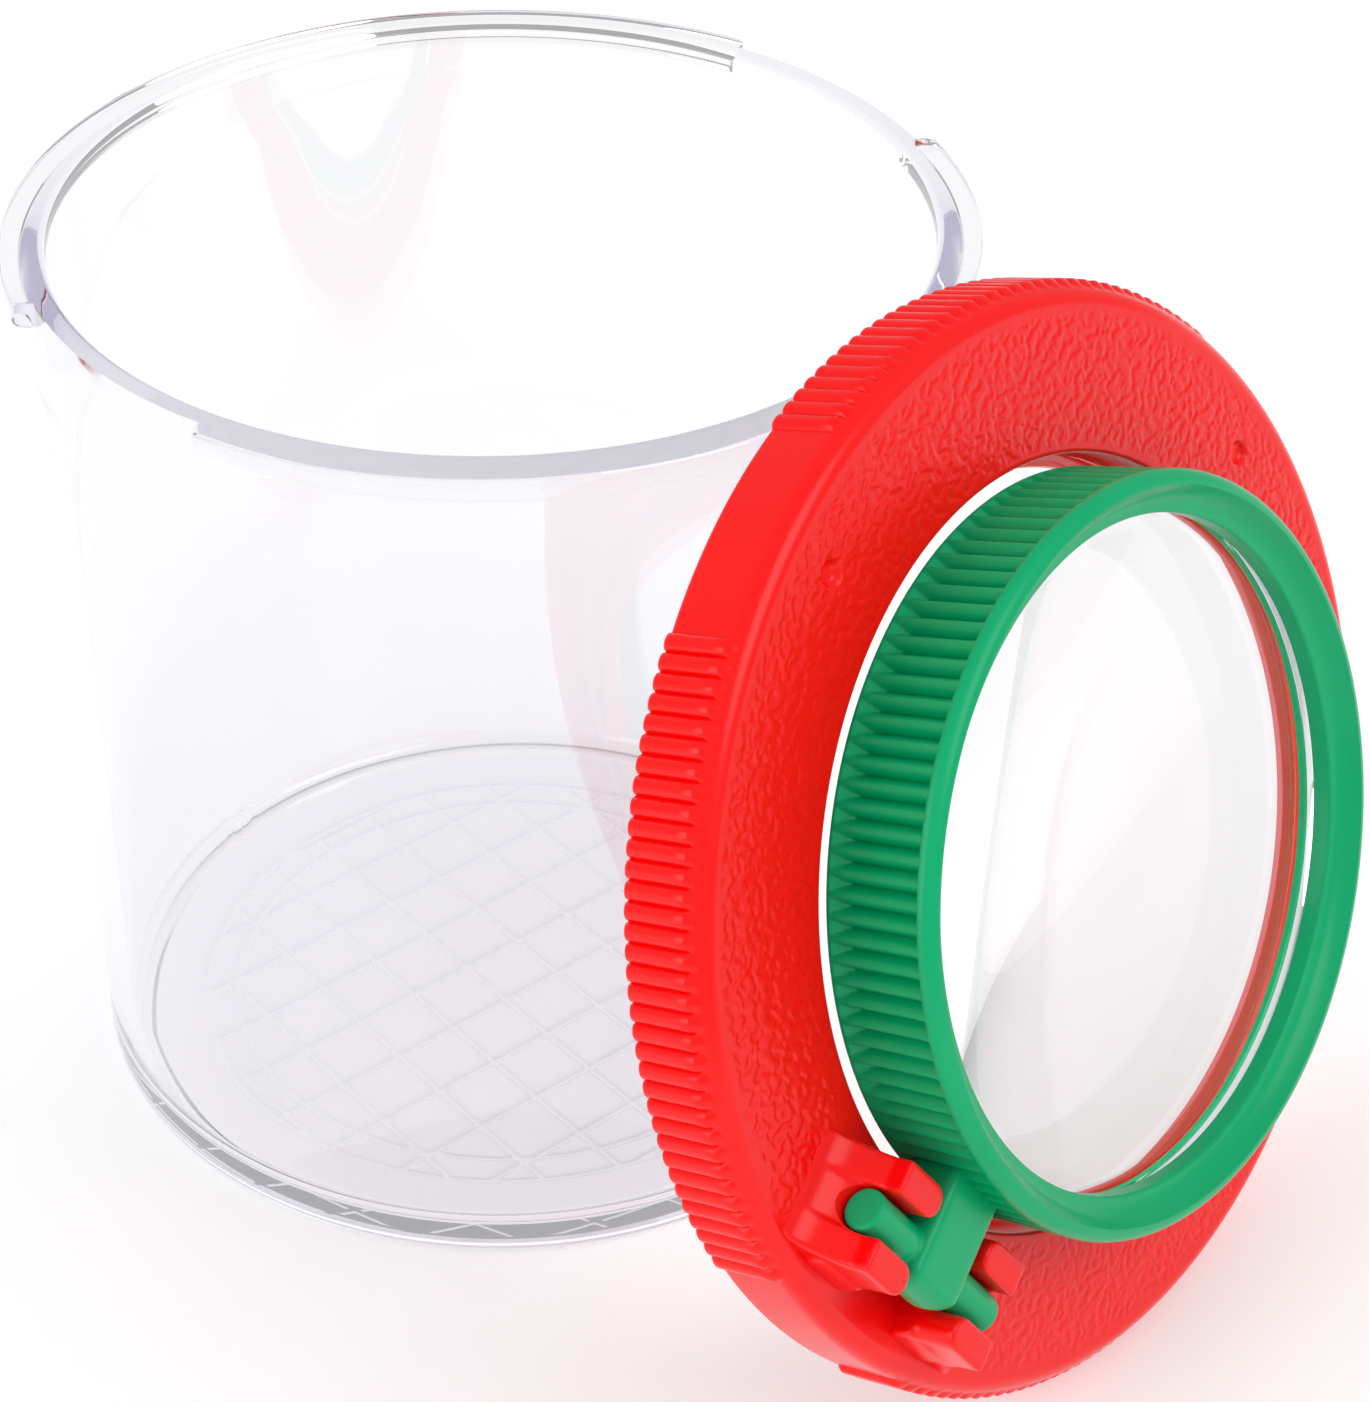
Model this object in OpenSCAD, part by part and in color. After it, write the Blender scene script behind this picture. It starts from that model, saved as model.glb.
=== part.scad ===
// Bug catcher jar: a clear cup with a twist-on lid that holds a lens, and a
// second lens in a frame hinged to the lid. The lid stands on its edge and
// leans on the rim, as it does when it is taken off. Millimetres, +Z up, the
// origin at the middle of the cup's base.

/* [Jar] */
// Height of the jar, foot to rim
jar_h = 65.4; // [50:0.1:68]
// Outer radius of the wall just under the rim
jar_top_r = 31; // [30.8:0.1:31.3]
// How much smaller the wall's radius is at the base
jar_draft = 0.4; // [0:0.1:2]
// Thickness of the wall
jar_wall = 1.6; // [1.2:0.1:1.8]
// Thickness of the floor
jar_floor = 1.6; // [1.2:0.1:3]
// Rounding of the outer foot edge
foot_round = 1.1; // [0.4:0.1:1.5]
// Rounding of the inner corner between floor and wall
corner_round = 2; // [0.5:0.1:3]
// Rounding of the rim's inner edge
rim_round = 0.5; // [0.2:0.1:0.7]

/* [Bayonet flange] */
// How far the flange stands out of the wall
flange_out = 1.42; // [1:0.02:1.6]
// Thickness of the flange
flange_t = 1.7; // [1.2:0.1:1.9]
// Angle of each of the two gaps that let the lugs through
gap_angle = 35; // [34:1:45]
// Direction of the gaps
gap_az = 37; // [0:1:60]

/* [Measuring grid] */
// Side of a grid square
grid_pitch = 5; // [4:0.5:8]
// Width of a moulded line
grid_line = 0.45; // [0.3:0.05:1]
// Depth of a moulded line in the underside
grid_depth = 0.25; // [0.15:0.05:0.4]
// Distance from the base's edge in to the circle round the grid
grid_in = 7.2; // [6:0.2:9]
// Distance from that circle in to the second one
ring_in = 2.4; // [1:0.2:4]
// Distance from the base's edge in to the ring line under the foot
foot_line_in = 2.6; // [2:0.1:4]
// Depth of the ring line under the foot
foot_line_depth = 0.4; // [0.2:0.1:0.8]

/* [Lid] */
// Gap between the flange and the skirt round it
skirt_clear = 1.58; // [0.6:0.02:2]
// Thickness of the skirt, without the ribs
skirt_wall = 1.8; // [1.2:0.1:2.4]
// Thickness of the lid over the rim
lid_plate = 2; // [1.2:0.1:2.5]
// Rounding of the shoulder
shoulder = 1.3; // [0.8:0.1:1.6]
// Thickness of the locating ring that goes inside the rim
plug_wall = 1.4; // [1:0.1:2]
// Width of the groove that cores out the lid behind that ring
core_gap = 1.2; // [0.8:0.1:2]
// Depth of that groove
core_depth = 3.4; // [1:0.1:4]
// Thickness of the collar round the lid's lens
collar_wall = 1.3; // [1:0.1:2]
// Width of the ledge that the lid's lens lies on
lens_ledge = 1.3; // [0.8:0.1:2]
// Thickness of that ledge
ledge_h = 1.2; // [0.8:0.1:1.6]
// Chamfer round the opening
opening_edge = 0.3; // [0.2:0.1:0.4]
// Radius of the dimples in the face
dimple_r = 1; // [0.6:0.1:1.5]
// Depth of the dimples
dimple_depth = 0.6; // [0.3:0.1:0.9]
// Distance of the dimples from the edge of the lid
dimple_in = 4.8; // [4:0.1:8]

/* [Grip ribs] */
// Height of the lid's ribs
rib_h = 0.4; // [0.2:0.05:0.6]
// Ribs in each quarter of the lid, smooth stretch counted too
rib_places = 46; // [40:2:60]
// Places in each quarter that stay smooth
rib_smooth = 12; // [8:2:16]
// Grooves round the lens frame
groove_count = 114; // [90:1:130]
// Depth of the frame's grooves
groove_depth = 0.6; // [0.3:0.05:0.8]

/* [Lugs] */
// Angle of each of the two lugs inside the skirt
lug_angle = 30; // [20:1:33]
// Height of the lugs' upper face above the skirt's edge
lug_top = 2.05; // [1.4:0.05:3]
// Gap between a lug and the flange that it locks under
lug_clear = 0.15; // [0.1:0.05:0.2]
// Gap between a lug and the jar's wall
lug_side_clear = 0.35; // [0.2:0.05:0.5]
// Gap between the rim and the locating ring inside it
plug_clear = 0.3; // [0.2:0.05:0.6]

/* [Lenses] */
// Thickness of the lid's lens at its edge
lid_lens_edge = 1.6; // [1.2:0.1:1.7]
// Rise of the lid lens's upper face
lid_lens_up = 1.5; // [0.8:0.1:2]
// Rise of the lid lens's lower face
lid_lens_down = 1; // [0.5:0.1:1.2]
// Thickness of the frame's lens at its edge
frame_lens_edge = 2.6; // [1.2:0.1:3]
// Rise of each face of the frame's lens
frame_lens_dome = 1.8; // [1:0.1:2]
// Gap round a lens in its seat
lens_clear = 0.05; // [0.02:0.01:0.08]
// How far a snap bead stands into a lens seat
bead = 0.3; // [0.2:0.05:0.4]

/* [Lens frame] */
// Gap between the frame's foot and the wall of the lid's opening
foot_gap = 0.85; // [0.3:0.05:1.2]
// How much the frame's radius grows from its foot to its front
frame_flare = 0.2; // [0:0.1:1]
// Thickness of the frame's wall at its foot
frame_wall = 1.15; // [1:0.05:2]
// How far the seat of the frame's lens stands in from the frame's foot
seat_step = 0.75; // [0.5:0.05:1]
// Height of the frame
frame_h = 8; // [7:0.1:9]
// How deep the frame's foot stands in the lid's opening
frame_nest = 0.4; // [0.2:0.1:0.5]
// Height of the smooth band at the frame's foot
frame_band = 1.1; // [0.8:0.1:2]
// Width of the ledge that the frame's lens lies against
frame_ledge = 0.75; // [0.6:0.05:2]
// Rounding of the front edge
lip_round = 0.6; // [0.3:0.1:1]
// How far the front face falls towards the aperture
front_dish = 1.3; // [0.4:0.1:1.6]
// Height of the wall between the aperture and the lens
lip_h = 1.4; // [1:0.1:2.6]

/* [Hinge] */
// Gap between the frame's front edge and the inner posts
post_gap = 1.25; // [0.8:0.05:2]
// Height of the pin above the lid's face
pin_up = 2.55; // [2.2:0.05:4]
// Radius of the pin
pin_r = 1.4; // [1:0.05:1.45]
// How far each end of the pin reaches past the posts
pin_past = 0.1; // [0:0.1:1]
// Running gap round the pin in its seats
pin_clear = 0.05; // [0.02:0.01:0.09]
// How far the posts stand above the pin
post_past = 0.6; // [0.4:0.1:1]
// Thickness of a post
post_t = 2.2; // [1.8:0.1:2.4]
// Length of a post along the pin
post_len = 4.4; // [3.4:0.1:4.8]
// Width of the arm between the posts
arm_w = 5.4; // [4:0.1:6]
// Gap between the arm and the posts at each side
arm_clear = 0.3; // [0.2:0.05:0.5]
// Gap between the arm's eye and the lid's face
eye_clear = 0.15; // [0.1:0.05:0.4]
// How far the arm's top stands above the pin's axis
arm_up = 1.9; // [1.5:0.1:2]
// How far the arm's underside lies below the pin's axis
arm_down = 2.1; // [1.6:0.1:2.3]
// How far the posts' snap lips stand into the slot
snap_lip = 0.2; // [0.1:0.05:0.3]
// Height of the raised pad under the posts
pad_h = 2.3; // [1.6:0.1:2.5]
// How far the pad's sides slope out at its foot
pad_slope = 0.3; // [0.2:0.1:0.6]
// How far the pad reaches past the ends of the pin
pad_past = 1.6; // [0.5:0.1:2.5]
// Gap between the ends of the pin and the pad's end walls
end_clear = 0.3; // [0.2:0.05:0.5]
// Drop from a post's top to the head of the ramp at its far end
ramp_drop = 1.2; // [0.6:0.1:2]

/* [Lean] */
// Angle by which the lid leans back on the jar
lean = 18.7; // [15:0.1:22]
// Direction from the jar to the lid
lean_az = -41.2; // [-60:0.1:-20]
// Turn of the lid about its own axis
lid_spin = -60; // [-90:1:0]
// Gap left between the lid and the jar's rim
lean_gap = 0.5; // [0.3:0.1:0.8]

/* [Hidden] */
$fn = 96;
eps = 0.1;               // overrun of a cut past the face it opens
root = 0.3;              // how far a raised form is sunk in what carries it

// Jar, worked out
jar_base_r = jar_top_r - jar_draft;
jar_in_top_r = jar_top_r - jar_wall;
jar_in_base_r = jar_base_r - jar_wall;
flange_r = jar_top_r + flange_out;
flange_sweep = 180 - gap_angle;
grid_r = jar_base_r - grid_in;
ring_r = grid_r - ring_in;
foot_line_r = jar_base_r - foot_line_in;
foot_line_w = foot_line_depth * 2;

// Lid, worked out from the jar's rim outwards and inwards
skirt_in_r = flange_r + skirt_clear;
lid_smooth_r = skirt_in_r + skirt_wall;
lid_r = lid_smooth_r + rib_h;
lug_r = jar_top_r + lug_side_clear;
lug_bottom_share = 0.25;
lug_bottom = lug_top * lug_bottom_share;
cavity = lug_top + lug_clear + flange_t;
lid_h = cavity + lid_plate;
plug_r = jar_in_top_r - plug_clear;
plug_in_r = plug_r - plug_wall;
collar_r = plug_in_r - core_gap;
opening_r = collar_r - collar_wall;
ledge_r = opening_r - lens_ledge;
lid_lens_r = opening_r - lens_clear * 2;
lid_lens_w = ledge_h + lens_clear;
lid_bead_w = lid_lens_w + lid_lens_edge + lens_clear;
dimple_at = lid_smooth_r - dimple_in;

// Lens frame, worked out, as heights above the lid's skirt edge
frame_foot_r = opening_r - foot_gap;
frame_front_r = frame_foot_r + frame_flare;
frame_in_r = frame_foot_r - frame_wall;
frame_seat_r = frame_in_r - seat_step;
frame_lens_r = frame_seat_r - lens_clear;
aperture_r = frame_seat_r - frame_ledge;
frame_w0 = lid_h - frame_nest;
frame_w1 = frame_w0 + frame_h;
aperture_w = frame_w1 - front_dish;
frame_seat_w = aperture_w - lip_h;
frame_lens_w = frame_seat_w - lens_clear - frame_lens_edge;
frame_bead_w = frame_lens_w - lens_clear;
frame_slope = atan(frame_flare / frame_h);

// Hinge, worked out
pin_w = lid_h + pin_up;
seat_r = pin_r + pin_clear;
slot_w = seat_r * 2 + pin_clear * 2;
pin_at = frame_front_r + post_gap + post_t + slot_w / 2;
post_y0 = arm_w / 2 + arm_clear;
pin_len = (post_y0 + post_len + pin_past) * 2;
post_h = pin_up + pin_r + post_past;
post_top = lid_h + post_h;
eye_r = pin_up - eye_clear;
pad_x0 = pin_at - slot_w / 2 - post_t;
pad_x1 = pin_at + slot_w / 2 + post_t;

// Lean, worked out. Where the rim meets the lid's groove its flange goes in
// until it meets the skirt, and lower down it leans on the locating ring. A lid
// that is too small to reach the flange leans on the wall under it
lid_cz = lid_r * cos(lean);
lid_reach = lid_cz * 2;
lean_on_wall = lid_reach < jar_h - flange_t;
lean_on_r = lean_on_wall ? jar_top_r - jar_draft * (1 - lid_reach / jar_h) : flange_r;
lean_v = min((jar_h - lid_cz) / cos(lean), lid_r);
function sagitta(ring_r) = flange_r - sqrt(pow(flange_r, 2) - pow(ring_r, 2) + pow(lean_v, 2));
lean_in = lean_v < skirt_in_r && lean_v > plug_r + flange_t ? sagitta(skirt_in_r) : 0;
lean_out = lean_on_r - lean_in + lean_v * sin(lean) + lean_gap;

// Points of an arc, for the rounded corners of the turned outlines
function arc(cx, cy, r, from, to, steps = 6) =
    [for (i = [0:steps]) let (a = from + (to - from) * i / steps) [cx + r * cos(a), cy + r * sin(a)]];

// Points of a ring of ridges: each has its shares of the pitch and of the height
ridge_pitch_share = [-0.44, -0.3, -0.12, 0.12, 0.3, 0.44];
ridge_height_share = [0, 0.65, 1, 1, 0.65, 0];
function polar(r, a) = [r * cos(a), r * sin(a)];
function is_rib(k) = k % rib_places >= rib_smooth / 2 && k % rib_places < rib_places - rib_smooth / 2;
function rib_points(k, pitch) =
    is_rib(k)
    ? [for (j = [0:5]) polar(lid_smooth_r - (ridge_height_share[j] == 0 ? root : 0) + rib_h * ridge_height_share[j],
                             (k + 0.5 + ridge_pitch_share[j]) * pitch)]
    : [polar(lid_smooth_r - root, (k + 0.5) * pitch)];

// Shares of a groove's pitch that stays standing, and of its width at its floor
land_share = 0.3;
groove_floor_share = 0.3;

// Puts what is drawn about the lid's own axis where the lid leans
module lean_lid() {
    translate([lean_out * cos(lean_az), lean_out * sin(lean_az), lid_cz])
        rotate([0, 90 - lean, lean_az])
            rotate([0, 0, lid_spin])
                children();
}

module jar_shell() {
    rotate_extrude()
        polygon(concat(
            [[0, 0]],
            arc(jar_base_r - foot_round, foot_round, foot_round, -90, 0),
            [[jar_top_r, jar_h - flange_t], [jar_top_r, jar_h]],
            arc(jar_in_top_r + rim_round, jar_h - rim_round, rim_round, 90, 180, 4),
            [[jar_in_base_r, jar_floor + corner_round]],
            arc(jar_in_base_r - corner_round, jar_floor + corner_round, corner_round, 0, -90),
            [[0, jar_floor]]));
}

module jar_flange() {
    for (side = [0, 180])
        rotate([0, 0, gap_az + gap_angle / 2 + side])
            rotate_extrude(angle = flange_sweep)
                translate([jar_top_r - root, jar_h - flange_t])
                    square([flange_out + root, flange_t]);
}

// A ring cut into the underside
module base_circle(r, w, depth) {
    translate([0, 0, -eps])
        difference() {
            cylinder(r = r + w / 2, h = depth + eps);
            translate([0, 0, -eps]) cylinder(r = r - w / 2, h = depth + eps * 3);
        }
}

module measuring_grid() {
    lines = floor(grid_r / grid_pitch - 0.5);
    for (turn = [0, 90], i = [-lines - 1:lines]) {
        at = (i + 0.5) * grid_pitch;
        half = sqrt(pow(grid_r, 2) - pow(at, 2));
        rotate([0, 0, gap_az + turn])
            translate([-half, at - grid_line / 2, -eps])
                cube([half * 2, grid_line, grid_depth + eps]);
    }
    base_circle(grid_r, grid_line, grid_depth);
    base_circle(ring_r, grid_line, grid_depth);
}

module jar() {
    color([0.93, 0.93, 0.96, 0.35])
        difference() {
            union() {
                jar_shell();
                jar_flange();
            }
            measuring_grid();
            base_circle(foot_line_r, foot_line_w, foot_line_depth);
        }
}

module lid_shell() {
    rotate_extrude()
        polygon(concat(
            [[ledge_r, 0], [ledge_r, ledge_h], [opening_r, ledge_h], [opening_r, lid_bead_w]],
            [[opening_r - bead, lid_bead_w + bead], [opening_r, lid_bead_w + bead * 2]],
            [[opening_r, lid_h - opening_edge], [opening_r + opening_edge, lid_h]],
            arc(lid_smooth_r - shoulder, lid_h - shoulder, shoulder, 90, 0),
            [[lid_smooth_r, 0], [skirt_in_r, 0], [skirt_in_r, cavity], [plug_r, cavity], [plug_r, 0]],
            [[plug_in_r, 0], [plug_in_r, core_depth], [collar_r, core_depth], [collar_r, 0]]));
}

module lid_ribs() {
    pitch = 90 / rib_places;
    intersection() {
        linear_extrude(height = lid_h - root)
            difference() {
                polygon([for (k = [0:rib_places * 4 - 1]) each rib_points(k, pitch)]);
                circle(r = skirt_in_r + root);
            }
        rotate_extrude()
            polygon([[skirt_in_r, 0], [lid_r + root, 0], [lid_r + root, lid_h - shoulder], [lid_smooth_r, lid_h - root - root / 2],
                     [skirt_in_r, lid_h - root]]);
    }
}

module lid_lugs() {
    for (side = [0, 180])
        rotate([0, 0, side - lug_angle / 2])
            rotate_extrude(angle = lug_angle)
                translate([lug_r, lug_bottom])
                    square([skirt_in_r - lug_r + root, lug_top - lug_bottom]);
}

// A post, round ended in plan, beside the slot that the pin sits in
module post(x0) {
    end_r = post_t / 2;
    translate([x0, post_y0, lid_h - root])
        linear_extrude(height = post_h + root) {
            translate([0, end_r]) square([post_t, post_len - post_t]);
            translate([end_r, end_r]) circle(r = end_r);
            translate([end_r, post_len - end_r]) circle(r = end_r);
        }
}

module snap_ridge(x, toward) {
    y0 = post_y0 + post_t / 2;
    translate([x, y0 + post_len - post_t, post_top - snap_lip * 3])
        rotate([90, 0, 0])
            linear_extrude(height = post_len - post_t)
                polygon([[-toward * root, 0], [0, 0], [toward * snap_lip, snap_lip],
                         [toward * snap_lip, snap_lip * 2], [0, snap_lip * 3], [-toward * root, snap_lip * 3]]);
}

// The pad that the posts stand on, with sloping sides and a sloping far end
module hinge_pad() {
    y1 = pin_len / 2 + pad_past;
    intersection() {
        translate([0, y1 + pad_slope, 0])
            rotate([90, 0, 0])
                linear_extrude(height = y1 + pad_slope - post_y0)
                    polygon([[pad_x0 - pad_slope, lid_h], [pad_x0, lid_h + pad_h], [pad_x1, lid_h + pad_h],
                             [pad_x1 + pad_slope, lid_h], [pad_x1, lid_h - root], [pad_x0, lid_h - root]]);
        translate([pad_x0 - pad_slope, 0, 0])
            rotate([90, 0, 90])
                linear_extrude(height = pad_x1 - pad_x0 + pad_slope * 2)
                    polygon([[post_y0, lid_h - root], [y1 + pad_slope + root, lid_h - root],
                             [y1 + pad_slope, lid_h], [y1, lid_h + pad_h], [post_y0, lid_h + pad_h]]);
    }
}

// The ramp that carries a post down to the pad's far end
module post_ramp(x0) {
    y1 = post_y0 + post_len;
    translate([x0, 0, 0])
        rotate([90, 0, 90])
            linear_extrude(height = post_t)
                polygon([[y1 - post_t, lid_h], [pin_len / 2 + pad_past + pad_slope, lid_h],
                         [pin_len / 2 + pad_past, lid_h + pad_h], [y1 - post_t / 2, post_top - ramp_drop],
                         [y1 - post_t, post_top - ramp_drop]]);
}

module hinge_clip() {
    difference() {
        union() {
            for (x0 = [pad_x0, pad_x1 - post_t]) {
                post(x0);
                post_ramp(x0);
            }
            hinge_pad();
            translate([pad_x0 + post_t / 2, post_y0, lid_h - root])
                cube([pad_x1 - pad_x0 - post_t, post_len, root + pin_up]);
            snap_ridge(pad_x0 + post_t, 1);
            snap_ridge(pad_x1 - post_t, -1);
        }
        translate([pin_at, 0, pin_w])
            rotate([-90, 0, 0])
                cylinder(r = seat_r, h = pin_len / 2 + end_clear);
    }
}

module lid() {
    color([0.96, 0.09, 0.08])
        lean_lid()
            difference() {
                union() {
                    lid_shell();
                    lid_ribs();
                    lid_lugs();
                    hinge_clip();
                    mirror([0, 1, 0]) hinge_clip();
                }
                for (turn = [90, 180, 270])
                    rotate([0, 0, turn])
                        translate([dimple_at, 0, lid_h - dimple_depth])
                            cylinder(r = dimple_r, h = dimple_depth + eps);
            }
}

// A round lens, its edge between the heights w0 and w1. Each face is domed
// inside the radius that the ledge or the snap bead leaves clear
module lens(r, under_r, over_r, w0, w1, down, up) {
    ball_under = (pow(under_r, 2) + pow(down, 2)) / (2 * down);
    ball_over = (pow(over_r, 2) + pow(up, 2)) / (2 * up);
    rotate_extrude()
        polygon(concat(
            arc(0, w0 - down + ball_under, ball_under, 270, 360 - acos(under_r / ball_under), 10),
            [[r, w0], [r, w1]],
            arc(0, w1 + up - ball_over, ball_over, acos(over_r / ball_over), 90, 10)));
}

module lid_lens() {
    color([0.92, 0.94, 0.97, 0.35])
        lean_lid()
            lens(lid_lens_r, ledge_r - bead, opening_r - bead, lid_lens_w, lid_lens_w + lid_lens_edge,
                 lid_lens_down, lid_lens_up);
}

// One groove's cutter, lying along the frame's sloping wall
module frame_groove() {
    wide = 2 * PI * frame_foot_r / groove_count * (1 - land_share);
    translate([frame_foot_r, 0, frame_w0])
        rotate([0, frame_slope, 0])
            translate([0, 0, frame_band])
                linear_extrude(height = frame_h - frame_band - lip_round)
                    polygon([[root, wide / 2], [0, wide / 2], [-groove_depth, wide * groove_floor_share / 2],
                             [-groove_depth, -wide * groove_floor_share / 2], [0, -wide / 2], [root, -wide / 2]]);
}

module frame_ring() {
    difference() {
        rotate_extrude()
            polygon(concat(
                [[frame_in_r, frame_w0], [frame_foot_r, frame_w0]],
                arc(frame_front_r - lip_round, frame_w1 - lip_round, lip_round, -frame_slope, 90),
                [[aperture_r, aperture_w], [aperture_r, frame_seat_w], [frame_seat_r, frame_seat_w]],
                [[frame_seat_r, frame_bead_w], [frame_seat_r - bead, frame_bead_w - bead]],
                [[frame_seat_r, frame_bead_w - bead * 2]],
                [[frame_in_r, frame_bead_w - bead * 2 - seat_step]]));
        for (k = [0:groove_count - 1])
            rotate([0, 0, (k + 0.5) * 360 / groove_count]) frame_groove();
    }
}

// Side view of the arm: x is the distance from the lid's axis, y the height
module arm_outline() {
    root_x = frame_in_r + eps;
    intersection() {
        union() {
            translate([pin_at, pin_w]) circle(r = eye_r);
            translate([root_x, pin_w - arm_down]) square([pin_at - root_x, arm_down + arm_up]);
        }
        translate([root_x, pin_w - eye_r]) square([pin_at + eye_r - root_x, eye_r + arm_up]);
    }
}

module lens_frame() {
    color([0.05, 0.62, 0.36])
        lean_lid() {
            frame_ring();
            difference() {
                translate([0, arm_w / 2, 0])
                    rotate([90, 0, 0])
                        linear_extrude(height = arm_w) arm_outline();
                translate([0, 0, frame_w0 - eps])
                    cylinder(r = frame_in_r + eps, h = frame_h + eps * 2);
            }
            translate([pin_at, -pin_len / 2, pin_w])
                rotate([-90, 0, 0])
                    cylinder(r = pin_r, h = pin_len);
        }
}

module frame_lens() {
    color([0.92, 0.94, 0.97, 0.35])
        lean_lid()
            lens(frame_lens_r, frame_seat_r - bead, aperture_r - bead, frame_lens_w, frame_lens_w + frame_lens_edge,
                 frame_lens_dome, frame_lens_dome);
}

jar();
lid();
lid_lens();
lens_frame();
frame_lens();
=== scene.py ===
"""Looks of the bug catcher jar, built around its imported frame.

The clear cup, the red twist-on lid, the green lens frame and the two lenses
are each built as a finished mesh in the lid's or the jar's own axes, in
millimetres, and then laid where the frame holds them, in metres.
"""

import logging
import math
from dataclasses import dataclass, field
from enum import Enum
from typing import Any, Sequence

import bpy
import numpy as np
from mathutils import Matrix, Vector, noise

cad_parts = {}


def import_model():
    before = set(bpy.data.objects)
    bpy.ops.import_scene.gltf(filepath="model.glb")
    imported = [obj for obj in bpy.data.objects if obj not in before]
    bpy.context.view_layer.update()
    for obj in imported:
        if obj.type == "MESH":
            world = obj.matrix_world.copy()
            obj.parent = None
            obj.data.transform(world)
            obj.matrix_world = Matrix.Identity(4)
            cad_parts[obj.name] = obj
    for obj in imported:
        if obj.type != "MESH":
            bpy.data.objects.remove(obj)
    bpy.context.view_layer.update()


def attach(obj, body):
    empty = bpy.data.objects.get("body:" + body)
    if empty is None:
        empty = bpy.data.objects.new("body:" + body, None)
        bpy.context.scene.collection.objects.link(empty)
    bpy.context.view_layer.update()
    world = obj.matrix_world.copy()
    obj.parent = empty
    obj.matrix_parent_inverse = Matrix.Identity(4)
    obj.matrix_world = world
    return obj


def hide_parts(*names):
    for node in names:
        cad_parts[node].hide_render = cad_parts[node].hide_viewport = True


LOG = logging.getLogger("bug_catcher_jar")
MM = 0.001

Point = tuple[float, float]
Corner = tuple[float, float, float]
Solid = tuple[list[Corner], list[list[int]]]
Sockets = dict[str | int, Any]


# Shapes


def arc(cx: float, cy: float, r: float, start: float, end: float, steps: int = 6) -> list[Point]:
    """Points of an arc, ends included.

    Args:
        cx: Centre, across.
        cy: Centre, up.
        r: Radius.
        start: First angle, degrees.
        end: Last angle, degrees.
        steps: Number of chords.

    Returns:
        The points in order.
    """
    angles = [math.radians(start + (end - start) * i / steps) for i in range(steps + 1)]
    return [(cx + r * math.cos(a), cy + r * math.sin(a)) for a in angles]


def line(start: Point, end: Point, steps: int) -> list[Point]:
    """Points along a straight stretch, ends included.

    Args:
        start: First point.
        end: Last point.
        steps: Number of equal parts.

    Returns:
        The points in order.
    """
    return [
        (start[0] + (end[0] - start[0]) * i / steps, start[1] + (end[1] - start[1]) * i / steps)
        for i in range(steps + 1)
    ]


def smooth_step(x: np.ndarray, low: float, high: float) -> np.ndarray:
    """Eases from 0 at low to 1 at high.

    Args:
        x: Where to evaluate.
        low: Where the ease starts.
        high: Where it ends.

    Returns:
        The eased values, in 0 to 1.
    """
    t = np.clip((x - low) / (high - low), 0.0, 1.0)
    return t * t * (3.0 - 2.0 * t)


def box(low: Sequence[float], high: Sequence[float]) -> Solid:
    """A closed box.

    Args:
        low: Lowest corner.
        high: Highest corner.

    Returns:
        Its corners and faces.
    """
    (x0, y0, z0), (x1, y1, z1) = low, high
    points = [(x, y, z) for z in (z0, z1) for y in (y0, y1) for x in (x0, x1)]
    faces = [[0, 2, 3, 1], [4, 5, 7, 6], [0, 1, 5, 4], [2, 6, 7, 3], [0, 4, 6, 2], [1, 3, 7, 5]]
    return points, faces


class Across(Enum):
    """The axis that an outline is extruded along."""

    RADIAL = "x"
    TANGENT = "y"
    AXIAL = "z"


def prism(outline: Sequence[Point], across: Across, low: float, high: float) -> Solid:
    """An outline extruded between two planes.

    Args:
        outline: Corner points, either way round.
        across: The axis that it is extruded along.
        low: First plane.
        high: Second plane.

    Returns:
        Its points and faces, facing outwards.
    """
    area = sum(a[0] * b[1] - b[0] * a[1] for a, b in zip(outline, [*outline[1:], outline[0]]))
    ring = list(outline) if area > 0 else list(reversed(outline))
    place = {
        Across.RADIAL: lambda p, h: (h, p[0], p[1]),
        Across.TANGENT: lambda p, h: (p[0], h, p[1]),
        Across.AXIAL: lambda p, h: (p[0], p[1], h),
    }[across]
    flip = across is Across.TANGENT
    n = len(ring)
    points = [place(p, low) for p in ring] + [place(p, high) for p in ring]
    faces = [list(reversed(range(n))), list(range(n, 2 * n))]
    faces += [[i, (i + 1) % n, n + (i + 1) % n, n + i] for i in range(n)]
    return points, [list(reversed(f)) for f in faces] if flip else faces


def joined(solids: Sequence[Solid]) -> Solid:
    """Several closed solids as one list of points and faces.

    Args:
        solids: The solids.

    Returns:
        All their points and faces.
    """
    points: list[Corner] = []
    faces: list[list[int]] = []
    for some_points, some_faces in solids:
        faces += [[i + len(points) for i in face] for face in some_faces]
        points += some_points
    return points, faces


def new_object(name: str, solid: Solid) -> bpy.types.Object:
    """A linked mesh object in millimetres.

    Args:
        name: Name of the object and its mesh.
        solid: Points and faces.

    Returns:
        The object.
    """
    mesh = bpy.data.meshes.new(name)
    mesh.from_pydata(solid[0], [], solid[1])
    mesh.validate()
    piece = bpy.data.objects.new(name, mesh)
    bpy.context.collection.objects.link(piece)
    return piece


def even_angles(count: int) -> np.ndarray:
    """Angles at equal steps round one turn.

    Args:
        count: How many.

    Returns:
        Radians, rising from 0.
    """
    return np.linspace(0.0, 2 * math.pi, count, endpoint=False)


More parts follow.
